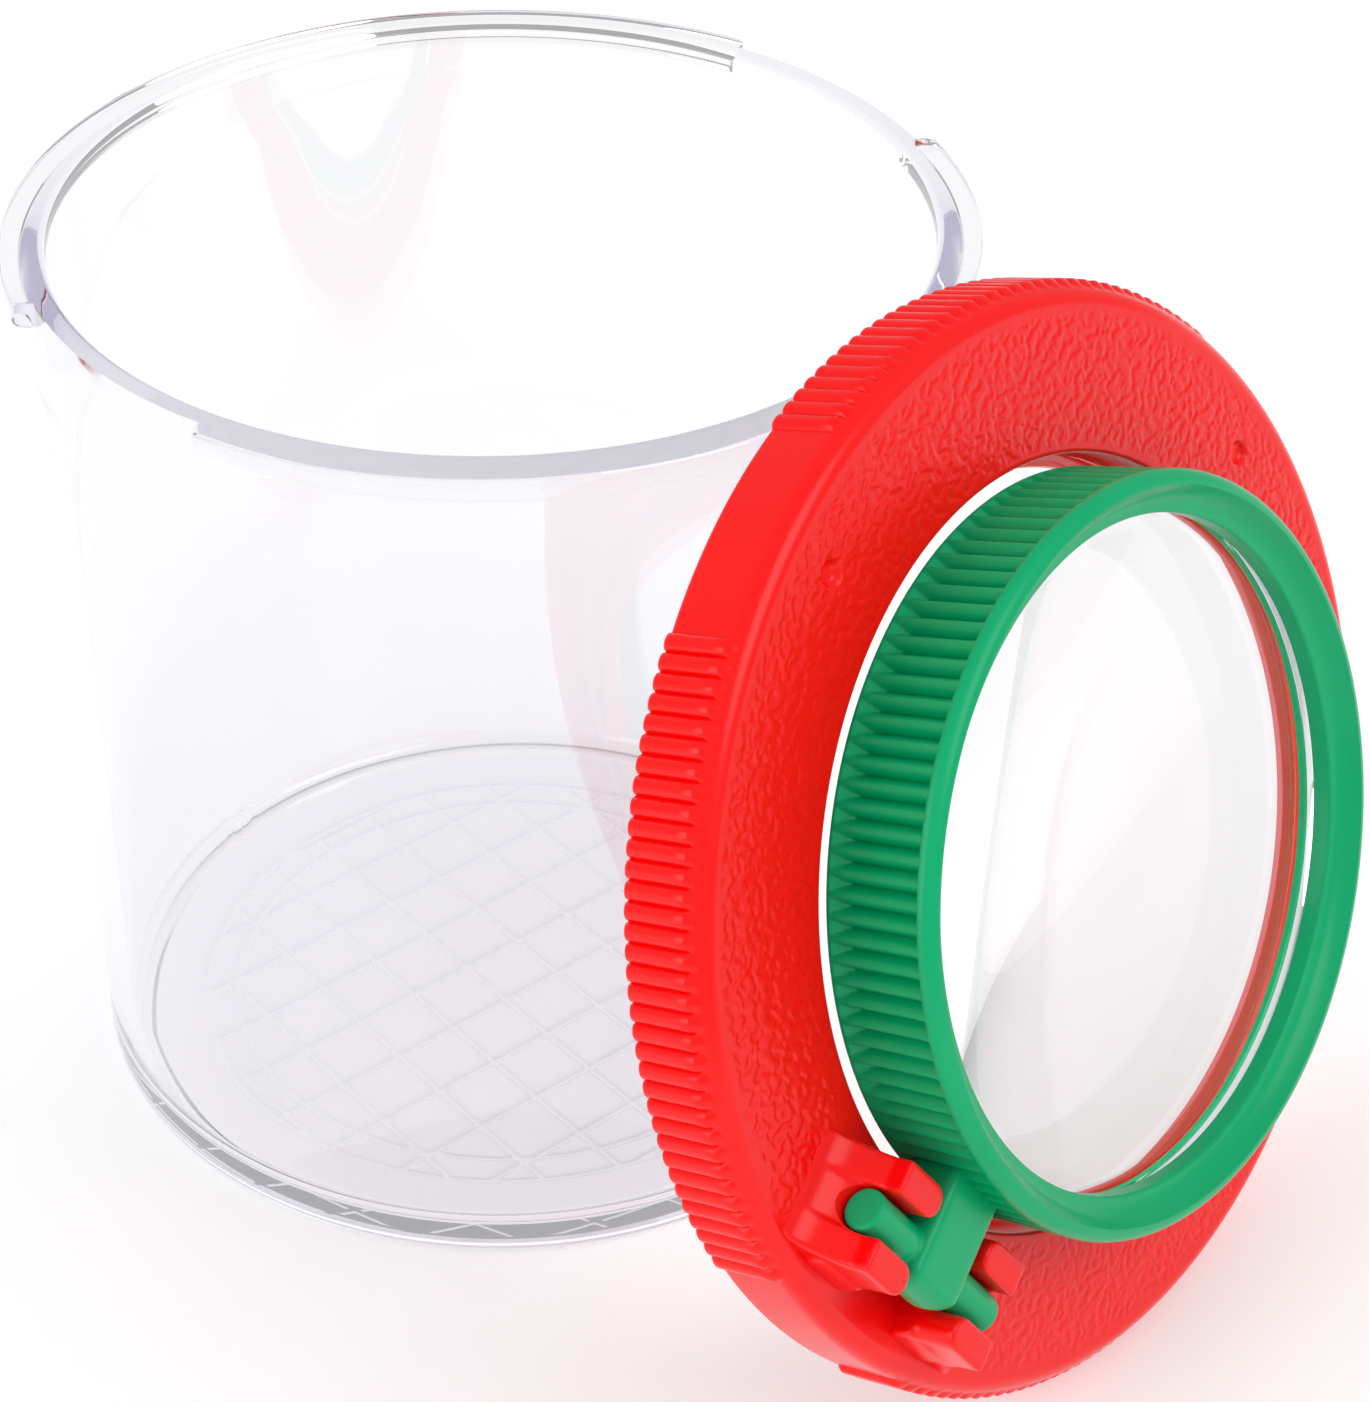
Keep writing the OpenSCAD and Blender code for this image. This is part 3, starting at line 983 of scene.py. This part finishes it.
    def build_clips(self) -> bpy.types.Object:
        """The four posts, their pad and ramps, run together as one moulding.

        Returns:
            The posts, in millimetres.
        """
        h = Hinge()
        solids: list[Solid] = []
        for side in (-1.0, 1.0):
            solids += h.clip_solids(side)
        clips = moulded("hinge_posts", solids, self.cell, self.melt)
        cut(clips, [h.seat_cutter(side) for side in (-1.0, 1.0)])
        shade(clips, self.clips_sharp_above)
        return clips


@dataclass(frozen=True)
class Hinge:
    """Sizes that the lid's posts and the frame's pin and arm share."""

    face: float = 5.9
    pin_at: float = 29.5
    pin_up: float = 2.55
    pin_r: float = 1.4
    pin_len: float = 15.0
    pin_edge: float = 0.15
    pin_clear: float = 0.05
    post_h: float = 4.55
    post_t: float = 2.2
    post_len: float = 4.4
    post_round: float = 1.05
    arm_w: float = 5.4
    arm_clear: float = 0.3
    arm_tip_round: float = 1.5
    eye_r: float = 2.4
    arm_up: float = 1.9
    arm_down: float = 2.1
    arm_square: float = 7.0
    arm_blunt: float = 0.004
    arm_facets: int = 64
    pin_facets: int = 44
    pad_h: float = 1.6
    pad_slope: float = 0.3
    pad_flank: float = 0.3
    tail: float = 3.3
    tail_bow: float = 2.3
    tail_share: float = 0.72
    tail_steps: int = 12
    pad_tail: float = 1.4
    recess: float = 1.0
    sunk: float = 0.6
    past: float = 1.0

    @property
    def pin_w(self) -> float:
        """Height of the pin's axis above the skirt's edge."""
        return self.face + self.pin_up

    @property
    def slot_half(self) -> float:
        """Half the gap between a pair of posts."""
        return self.pin_r + self.pin_clear * 2

    @property
    def post_y(self) -> float:
        """Where the posts start, beside the arm."""
        return self.arm_w / 2 + self.arm_clear

    def clip_solids(self, side: float) -> list[Solid]:
        """One pair of posts with its pad and ramps.

        Args:
            side: 1 for the pair at +Y, or -1.

        Returns:
            Overlapping solids.
        """
        x0 = self.pin_at - self.slot_half - self.post_t
        x1 = self.pin_at + self.slot_half + self.post_t
        low, top = self.face - self.sunk, self.face + self.post_h
        y0, y1 = self.post_y, self.post_y + self.post_len
        pad = self.face + self.pad_h
        solids: list[Solid] = []
        for x in (x0, x1 - self.post_t):
            r = self.post_round
            plan = [(x, side * y1), (x, side * (y0 + r))]
            plan += arc(x + r, side * (y0 + r), r, 180, 180 + side * 90)[1:]
            plan += arc(x + self.post_t - r, side * (y0 + r), r, side * 270, side * 360)
            plan += [(x + self.post_t, side * y1)]
            solids.append(prism(plan, Across.AXIAL, low, top))
            ramp = self.tail_profile(side, y1, self.post_h * self.tail_share)
            solids.append(prism(ramp, Across.RADIAL, x, x + self.post_t))
        near, far = sorted((side * y0, side * y1))
        under = self.pin_w - self.pad_slope
        solids.append(box((x0 + self.post_t / 2, near, low), (x1 - self.post_t / 2, far, under)))
        wide = [(x0 - self.pad_slope, self.face), (x0, pad), (x1, pad), (x1 + self.pad_flank, self.face)]
        wide += [(x1, low), (x0, low)]
        solids.append(prism(wide, Across.TANGENT, near, far))
        solids.append(prism(self.tail_profile(side, y1, self.pad_h * self.pad_tail), Across.RADIAL, x0, x1))
        return solids

    def tail_profile(self, side: float, start: float, height: float) -> list[Point]:
        """Section of a ramp that runs out from a post and lies down on the face.

        Args:
            side: 1 for the pair at +Y, or -1.
            start: Distance from the middle at which it is highest.
            height: Height there above the face.

        Returns:
            The closed section.
        """
        low = self.face - self.sunk
        away = start + self.tail
        section = [(side * (start - self.sunk), low), (side * away, low)]
        for i in range(self.tail_steps + 1):
            t = i / self.tail_steps
            section.append((side * (away - self.tail * t), self.face + height * t**self.tail_bow))
        section.append((side * (start - self.sunk), self.face + height))
        return section

    def seat_cutter(self, side: float) -> Solid:
        """Cutter for the seat that the pin turns in.

        Args:
            side: 1 for the seat at +Y, or -1.

        Returns:
            A closed cylinder with an open-topped slot over it.
        """
        r = self.slot_half
        above = self.face + self.post_h + self.past
        slot = arc(self.pin_at, self.pin_w, r, 180, 360, steps=24)
        slot += [(self.pin_at + r, above), (self.pin_at - r, above)]
        ends = (side * (self.post_y - self.past), side * (self.pin_len / 2 + self.recess))
        return prism(slot, Across.TANGENT, *sorted(ends))

    def arm_solids(self, wall_r: float) -> list[Solid]:
        """The arm, which ends as a rounded tongue over the pin, and the pin.

        Args:
            wall_r: Radius that the arm starts at, inside the frame's wall.

        Returns:
            Overlapping solids.
        """
        tip = self.pin_at + self.eye_r
        places = [x for x, _ in line((wall_r, 0.0), (self.pin_at, 0.0), steps=8)]
        places += [self.pin_at + self.eye_r * math.sin(math.radians(a)) for a in range(6, 90, 6)]
        sections = []
        for x in [*places, tip - self.arm_blunt]:
            over = max(0.0, x - self.pin_at)
            reach = math.sqrt(self.eye_r**2 - over**2)
            into = max(0.0, x - (tip - self.arm_tip_round))
            tuck = self.arm_tip_round - math.sqrt(self.arm_tip_round**2 - into**2)
            high = self.pin_w + min(self.arm_up, reach)
            low = self.pin_w - min(self.arm_down, reach)
            sections.append((x, self.arm_w / 2 - tuck, low, high))
        half, e, r = self.pin_len / 2, self.pin_edge, self.pin_r
        points: list[Corner] = []
        for y, ring_r in ((-half, r - e), (-half + e, r), (half - e, r), (half, r - e)):
            for a in even_angles(self.pin_facets):
                points.append((self.pin_at + ring_r * math.sin(a), y, self.pin_w + ring_r * math.cos(a)))
        return [lofted(sections, self.arm_square, self.arm_facets), skinned(points, self.pin_facets)]


@dataclass
class LensFrame:
    """The green frame: ribbed ring with a dished front, arm and pin."""

    low: float = 5.5
    height: float = 8.0
    foot_r: float = 24.35
    front_r: float = 24.55
    band: float = 1.5
    rib_count: int = 114
    facets_per_rib: int = 12
    rib_depth: float = 0.82
    rib_crown: float = 1.7
    front_fade: float = 0.8
    lip_round: float = 1.0
    aperture_r: float = 21.7
    dish: float = 1.3
    lip_h: float = 1.4
    in_r: float = 23.2
    seat_r: float = 22.45
    bead: float = 0.3
    bead_top: float = 8.1
    foot_ease: float = 0.15
    foot_round: float = 0.2
    seat_ease: float = 0.1
    lip_in_round: float = 0.25
    dish_sag: float = 0.3
    fade_rows: tuple[float, ...] = (0.2, 0.4, 0.6, 0.75, 0.88, 0.96, 1.0)
    arm_from: float = 0.3
    cell: float = 0.08
    melt: int = 12
    sharp_above: float = 40.0
    axes: LeaningAxes = field(default_factory=LeaningAxes)

    def build_ring(self) -> bpy.types.Object:
        """Turns the ring with its ribs.

        Returns:
            The ring, in millimetres.
        """
        columns = self.rib_count * self.facets_per_rib
        section = Section(even_angles(columns))
        across = (np.arange(columns) % self.facets_per_rib) / self.facets_per_rib
        valley = np.abs(2 * across - 1.0) ** self.rib_crown
        top = self.low + self.height
        slope = (self.front_r - self.foot_r) / self.height
        lip, foot_round, ease = self.lip_round, self.foot_round, self.seat_ease
        seat_w = top - self.dish - self.lip_h
        groove = self.bead_top - 2 * self.bead
        section.follow([(self.seat_r, seat_w), (self.seat_r, self.bead_top)])
        section.follow([(self.seat_r - self.bead, self.bead_top - self.bead), (self.seat_r, groove)])
        section.add(self.in_r, groove - (self.in_r - self.seat_r))
        section.follow([(self.in_r, self.low + self.foot_ease), (self.in_r + self.foot_ease, self.low)])
        section.follow(arc(self.foot_r - foot_round, self.low + foot_round, foot_round, -90, 0, steps=4))
        start, end = self.low + foot_round, top - lip
        levels = np.linspace(start, start + self.band, num=10)[1:].tolist()
        levels += np.linspace(start + self.band, end - self.front_fade, num=6)[1:].tolist()
        levels += [end - self.front_fade * (1 - t) for t in self.fade_rows]
        # The ribs rise from a sloping foot, stand full along the wall and fade below the lip
        for z in levels:
            near = max(0.0, 1.0 - (end - z) / self.front_fade)
            depth = self.rib_depth * math.sqrt(max(0.0, 1.0 - near * near))
            foot = self.foot_r - self.rib_depth * (z - start) / self.band
            wall = self.foot_r + (z - self.low) * slope
            section.add(np.maximum(foot, wall - depth * valley), z)
        section.follow(arc(self.front_r - lip, top - lip, lip, 6, 90, steps=8))
        inner_r = self.aperture_r + self.lip_in_round
        outer_r = self.front_r - lip
        for t in np.linspace(0.0, 1.0, num=12)[1:]:
            sag = self.dish_sag * math.sin(math.pi * t)
            section.add(outer_r + (inner_r - outer_r) * t, top - self.dish * t - sag)
        inner_w = top - self.dish - self.lip_in_round
        section.follow(arc(inner_r, inner_w, self.lip_in_round, 100, 180, steps=4))
        section.follow([(self.aperture_r, seat_w + ease), (self.aperture_r + ease, seat_w)])
        return section.turn("lens_frame_ring")

    def build_arm(self) -> bpy.types.Object:
        """The arm and pin, run together as one moulding.

        Returns:
            The arm, in millimetres.
        """
        arm = moulded("lens_frame_arm", Hinge().arm_solids(self.in_r + self.arm_from), self.cell, self.melt)
        shade(arm, self.sharp_above)
        return arm

    def dress(self) -> None:
        """Builds the frame and lays it in place."""
        ring = self.build_ring()
        shade(ring, self.sharp_above)
        place(ring, GREEN, "lens_frame", ["lens_frame"], self.axes.matrix())
        place(self.build_arm(), GREEN, "lens_frame", [], self.axes.matrix())


@dataclass
class Lens:
    """A round lens with a flat-topped rim that seats against a ledge."""

    name: str
    node: str
    body: str
    r: float
    clear_r: float
    low: float
    high: float
    up: float
    down: float
    under_r: float
    edge: float = 0.12
    dome_rows: int = 24
    segments: int = 192
    sharp_above: float = 25.0
    axes: LeaningAxes = field(default_factory=LeaningAxes)

    def dome(self, chord: float, rise: float, base: float, sign: float) -> list[Point]:
        """Points of one domed face, from its edge to the axis.

        Args:
            chord: Radius of the dome's edge.
            rise: Height of the dome.
            base: Height of its edge.
            sign: 1 for a face that rises, or -1.

        Returns:
            The points.
        """
        ball = (chord**2 + rise**2) / (2 * rise)
        radii = [chord * (1 - i / self.dome_rows) for i in range(self.dome_rows + 1)]
        return [(r, base + sign * (math.sqrt(ball**2 - r**2) - (ball - rise))) for r in radii]

    def dress(self) -> None:
        """Builds the lens and lays it in place."""
        section = Section(even_angles(self.segments))
        section.follow(self.dome(self.under_r, self.down, self.low, -1.0)[::-1])
        section.follow([(self.r - self.edge, self.low), (self.r, self.low + self.edge)])
        section.follow([(self.r, self.high - self.edge), (self.r - self.edge, self.high)])
        section.follow(self.dome(self.clear_r, self.up, self.high, 1.0))
        lens = section.turn(self.name)
        shade(lens, self.sharp_above)
        place(lens, ACRYLIC, self.body, [self.node], self.axes.matrix())


# Studio


@dataclass
class Studio:
    """The pale floor, the light and the camera at the photograph's angle."""

    floor_half: float = 3.0
    floor_colour: str = "#F2F2F3"
    floor_gap: float = 0.00005
    floor_lift: float = 0.2
    sky_strength: float = 0.75
    sky_mirrored: float = 0.45
    # Each lamp's place in metres and its power in watts
    lamps: tuple[tuple[float, float, float, float], ...] = (
        (0.75, -0.55, 0.95, 4.3),
        (-0.95, -0.6, 0.45, 3.7),
    )
    lamp_size: float = 0.9
    lamp_aim: tuple[float, float, float] = (0.01, -0.01, 0.03)
    camera_distance: float = 0.25146
    camera_drop: float = 34.68
    camera_turn: tuple[float, float, float] = (-1.33, -2.93, 1.43)
    target_height: float = 0.03266
    focal_pixels: float = 3500.0
    frame_pixels: float = 1402.0
    sensor: float = 36.0
    nearest: float = 0.01

    def floor(self) -> None:
        """A plain floor that shows white and keeps the shadow."""
        half = self.floor_half
        z = -self.floor_gap
        corners = [(-half, -half, z), (half, -half, z), (half, half, z), (-half, half, z)]
        floor = new_object("floor", (corners, [[0, 1, 2, 3]]))
        mat = bpy.data.materials.new("studio_card_white")
        tree = emptied_tree(mat)
        card = add_node(tree, "ShaderNodeBsdfDiffuse", {"Color": from_hex(self.floor_colour)}, {})
        path = add_node(tree, "ShaderNodeLightPath", {}, {}).outputs
        direct = {0: path["Is Camera Ray"], 1: path["Is Glossy Ray"]}
        seen = add_node(tree, "ShaderNodeMath", {"operation": "MAXIMUM"}, direct).outputs[0]
        either = {0: seen, 1: path["Is Transmission Ray"]}
        shown = add_node(tree, "ShaderNodeMath", {"operation": "MAXIMUM"}, either).outputs[0]
        share = {"operation": "MULTIPLY", 1: self.floor_lift}
        lift = add_node(tree, "ShaderNodeMath", share, {0: shown}).outputs[0]
        glow = add_node(tree, "ShaderNodeEmission", {}, {"Strength": lift})
        both = add_node(tree, "ShaderNodeAddShader", {}, {0: card.outputs[0], 1: glow.outputs[0]})
        add_node(tree, "ShaderNodeOutputMaterial", {}, {"Surface": both.outputs[0]})
        floor.data.materials.append(mat)

    def sky(self) -> None:
        """A world that the eye sees as white and that lights softly."""
        world = bpy.data.worlds.new("studio_light")
        bpy.context.scene.world = world
        tree = emptied_tree(world)
        path = add_node(tree, "ShaderNodeLightPath", {}, {}).outputs
        either = {0: path["Is Camera Ray"], 1: path["Is Transmission Ray"]}
        seen = add_node(tree, "ShaderNodeMath", {"operation": "MAXIMUM"}, either).outputs[0]
        levels = {"To Min": self.sky_strength, "To Max": self.sky_mirrored}
        unseen = add_node(tree, "ShaderNodeMapRange", levels, {"Value": path["Is Glossy Ray"]})
        ends = {"Value": seen, "To Min": unseen.outputs["Result"]}
        level = add_node(tree, "ShaderNodeMapRange", {"To Max": 1.0}, ends)
        white = {"Color": (1.0, 1.0, 1.0, 1.0)}
        sky = add_node(tree, "ShaderNodeBackground", white, {"Strength": level.outputs["Result"]})
        add_node(tree, "ShaderNodeOutputWorld", {}, {"Surface": sky.outputs[0]})

    def lamp(self) -> None:
        """Broad soft lamps, the key at the right and a fill at the left."""
        for x, y, z, power in self.lamps:
            data = bpy.data.lights.new("softbox", "AREA")
            data.shape = "DISK"
            data.size = self.lamp_size
            data.energy = power
            lamp = bpy.data.objects.new("softbox", data)
            lamp.location = (x, y, z)
            aim = Vector(self.lamp_aim) - lamp.location
            lamp.rotation_euler = aim.to_track_quat("-Z", "Y").to_euler()
            bpy.context.collection.objects.link(lamp)

    def camera(self) -> None:
        """The camera, at the place and lens that match the photograph."""
        drop = math.radians(self.camera_drop)
        sine, cosine = math.sin(drop), math.cos(drop)
        target = Vector((0.0, 0.0, self.target_height))
        place_at = target + self.camera_distance * Vector((0.0, -cosine, sine))
        base = Matrix(((1, 0, 0), (0, sine, cosine), (0, cosine, -sine)))
        pitch, yaw, roll = (math.radians(a) for a in self.camera_turn)
        turn = Matrix.Rotation(roll, 3, "Z") @ Matrix.Rotation(yaw, 3, "Y") @ Matrix.Rotation(pitch, 3, "X")
        right, up, ahead = turn @ base
        facing = Matrix((right, up, -ahead)).transposed().to_4x4()
        data = bpy.data.cameras.new("camera")
        data.sensor_fit = "VERTICAL"
        data.sensor_height = self.sensor
        data.lens = self.sensor * self.focal_pixels / self.frame_pixels
        data.clip_start = self.nearest
        camera = bpy.data.objects.new("camera", data)
        camera.matrix_world = Matrix.Translation(place_at) @ facing
        bpy.context.collection.objects.link(camera)
        bpy.context.scene.camera = camera

    def build(self) -> None:
        """Sets up floor, light and camera."""
        self.floor()
        self.sky()
        self.lamp()
        self.camera()
        bpy.context.scene.view_settings.view_transform = "Standard"


def main() -> None:
    """Loads the frame, builds the pieces in order and sets the stage."""
    logging.basicConfig(level=logging.INFO, format="%(name)s: %(message)s")
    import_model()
    for finish in (RED, GREEN, CRYSTAL, ACRYLIC):
        FINISHES[finish.name] = finish.material()
    Jar().dress()
    Lid().dress()
    lid_lens = Lens(
        name="lid_lens_disc",
        node="lid_lens",
        body="lid",
        r=25.1,
        clear_r=24.9,
        low=1.25,
        high=2.85,
        up=1.5,
        down=1.0,
        under_r=23.6,
    )
    lid_lens.dress()
    LensFrame().dress()
    frame_lens = Lens(
        name="frame_lens_disc",
        node="frame_lens",
        body="lens_frame",
        r=22.4,
        clear_r=21.4,
        low=8.15,
        high=10.75,
        up=1.8,
        down=1.8,
        under_r=22.15,
    )
    frame_lens.dress()
    Studio().build()


if __name__ == "__main__":
    main()
